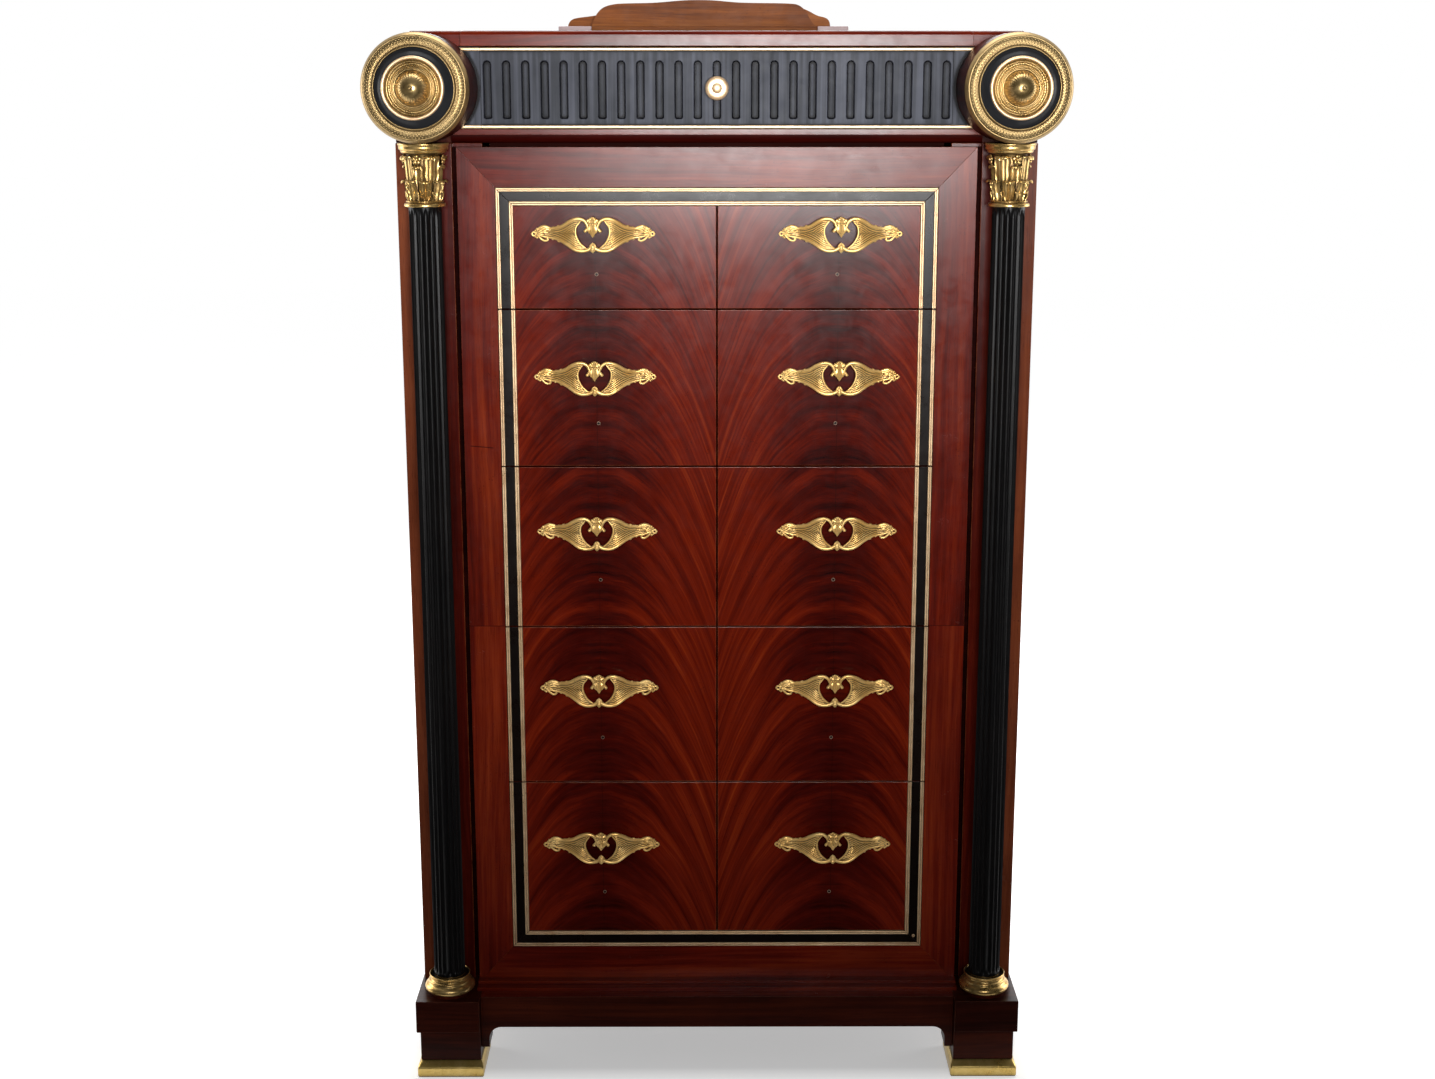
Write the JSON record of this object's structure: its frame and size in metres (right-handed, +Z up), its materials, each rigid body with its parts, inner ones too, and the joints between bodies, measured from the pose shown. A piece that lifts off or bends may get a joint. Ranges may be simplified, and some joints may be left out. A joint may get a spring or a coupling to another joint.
{
  "type": "tall accent chest of drawers",
  "caption": "Tall mahogany chest with columns, roundels, a fluted frieze drawer and paired stacks of veneered drawers that slide out.",
  "frame": {"origin": "on the floor under the middle of the overall box", "axes": "+Z up, +X to the right as seen from the front, -Y towards the front"},
  "size_m": [1.0024, 0.5562, 1.664],
  "materials": {
    "mahogany": "polished mahogany",
    "flame_veneer": "book-matched flame mahogany veneer, glossy",
    "ebonised_wood": "ebonised, satin",
    "gilt_bronze": "gilt, fire-gilt sheen",
    "pale_gilt": "pale polished gilt",
    "inner_wood": "plain, oiled",
    "crest_wood": "figured, polished"
  },
  "bodies": {
    "case": {"apron": "mahogany", "back_panel": "inner_wood", "band_bottom": "ebonised_wood", "band_top": "ebonised_wood", "capital_left": "gilt_bronze", "capital_right": "gilt_bronze", "column_base_left": "gilt_bronze", "column_base_right": "gilt_bronze", "column_shaft_left": "ebonised_wood", "column_shaft_right": "ebonised_wood", "cornice_moulding": "mahogany", "crest_base": "crest_wood", "crest_board": "crest_wood", "face_frame": "mahogany", "frieze_case": "mahogany", "inner_rack": "inner_wood", "plinth": "mahogany", "rosette_left": "gilt_bronze", "rosette_right": "gilt_bronze", "roundel_left": "mahogany", "roundel_right": "mahogany", "sabot_left": "gilt_bronze", "sabot_right": "gilt_bronze", "side_left": "mahogany", "side_right": "mahogany", "top_board": "mahogany"},
    "drawer_1_left": {"drawer_1_left_front": "flame_veneer", "drawer_1_left_box": "inner_wood", "drawer_1_left_handle": "gilt_bronze"},
    "drawer_1_right": {"drawer_1_right_front": "flame_veneer", "drawer_1_right_box": "inner_wood", "drawer_1_right_handle": "gilt_bronze"},
    "drawer_2_left": {"drawer_2_left_front": "flame_veneer", "drawer_2_left_box": "inner_wood", "drawer_2_left_handle": "gilt_bronze"},
    "drawer_2_right": {"drawer_2_right_front": "flame_veneer", "drawer_2_right_box": "inner_wood", "drawer_2_right_handle": "gilt_bronze"},
    "drawer_3_left": {"drawer_3_left_front": "flame_veneer", "drawer_3_left_box": "inner_wood", "drawer_3_left_handle": "gilt_bronze"},
    "drawer_3_right": {"drawer_3_right_front": "flame_veneer", "drawer_3_right_box": "inner_wood", "drawer_3_right_handle": "gilt_bronze"},
    "drawer_4_left": {"drawer_4_left_front": "flame_veneer", "drawer_4_left_box": "inner_wood", "drawer_4_left_handle": "gilt_bronze"},
    "drawer_4_right": {"drawer_4_right_front": "flame_veneer", "drawer_4_right_box": "inner_wood", "drawer_4_right_handle": "gilt_bronze"},
    "drawer_5_left": {"drawer_5_left_front": "flame_veneer", "drawer_5_left_box": "inner_wood", "drawer_5_left_handle": "gilt_bronze"},
    "drawer_5_right": {"drawer_5_right_front": "flame_veneer", "drawer_5_right_box": "inner_wood", "drawer_5_right_handle": "gilt_bronze"},
    "frieze_drawer": {"frieze_drawer_front": "ebonised_wood", "frieze_drawer_box": "inner_wood", "frieze_knob": "pale_gilt"}
  },
  "joints": [
    {"name": "drawer_1_left_slide", "type": "slide", "parent": "case", "child": "drawer_1_left", "axis": [0, -1, 0], "range_m": [0, 0.26]},
    {"name": "drawer_1_right_slide", "type": "slide", "parent": "case", "child": "drawer_1_right", "axis": [0, -1, 0], "range_m": [0, 0.26]},
    {"name": "drawer_2_left_slide", "type": "slide", "parent": "case", "child": "drawer_2_left", "axis": [0, -1, 0], "range_m": [0, 0.26]},
    {"name": "drawer_2_right_slide", "type": "slide", "parent": "case", "child": "drawer_2_right", "axis": [0, -1, 0], "range_m": [0, 0.26]},
    {"name": "drawer_3_left_slide", "type": "slide", "parent": "case", "child": "drawer_3_left", "axis": [0, -1, 0], "range_m": [0, 0.26]},
    {"name": "drawer_3_right_slide", "type": "slide", "parent": "case", "child": "drawer_3_right", "axis": [0, -1, 0], "range_m": [0, 0.26]},
    {"name": "drawer_4_left_slide", "type": "slide", "parent": "case", "child": "drawer_4_left", "axis": [0, -1, 0], "range_m": [0, 0.26]},
    {"name": "drawer_4_right_slide", "type": "slide", "parent": "case", "child": "drawer_4_right", "axis": [0, -1, 0], "range_m": [0, 0.26]},
    {"name": "drawer_5_left_slide", "type": "slide", "parent": "case", "child": "drawer_5_left", "axis": [0, -1, 0], "range_m": [0, 0.26]},
    {"name": "drawer_5_right_slide", "type": "slide", "parent": "case", "child": "drawer_5_right", "axis": [0, -1, 0], "range_m": [0, 0.26]},
    {"name": "frieze_drawer_slide", "type": "slide", "parent": "case", "child": "frieze_drawer", "axis": [0, -1, 0], "range_m": [0, 0.24]}
  ]
}
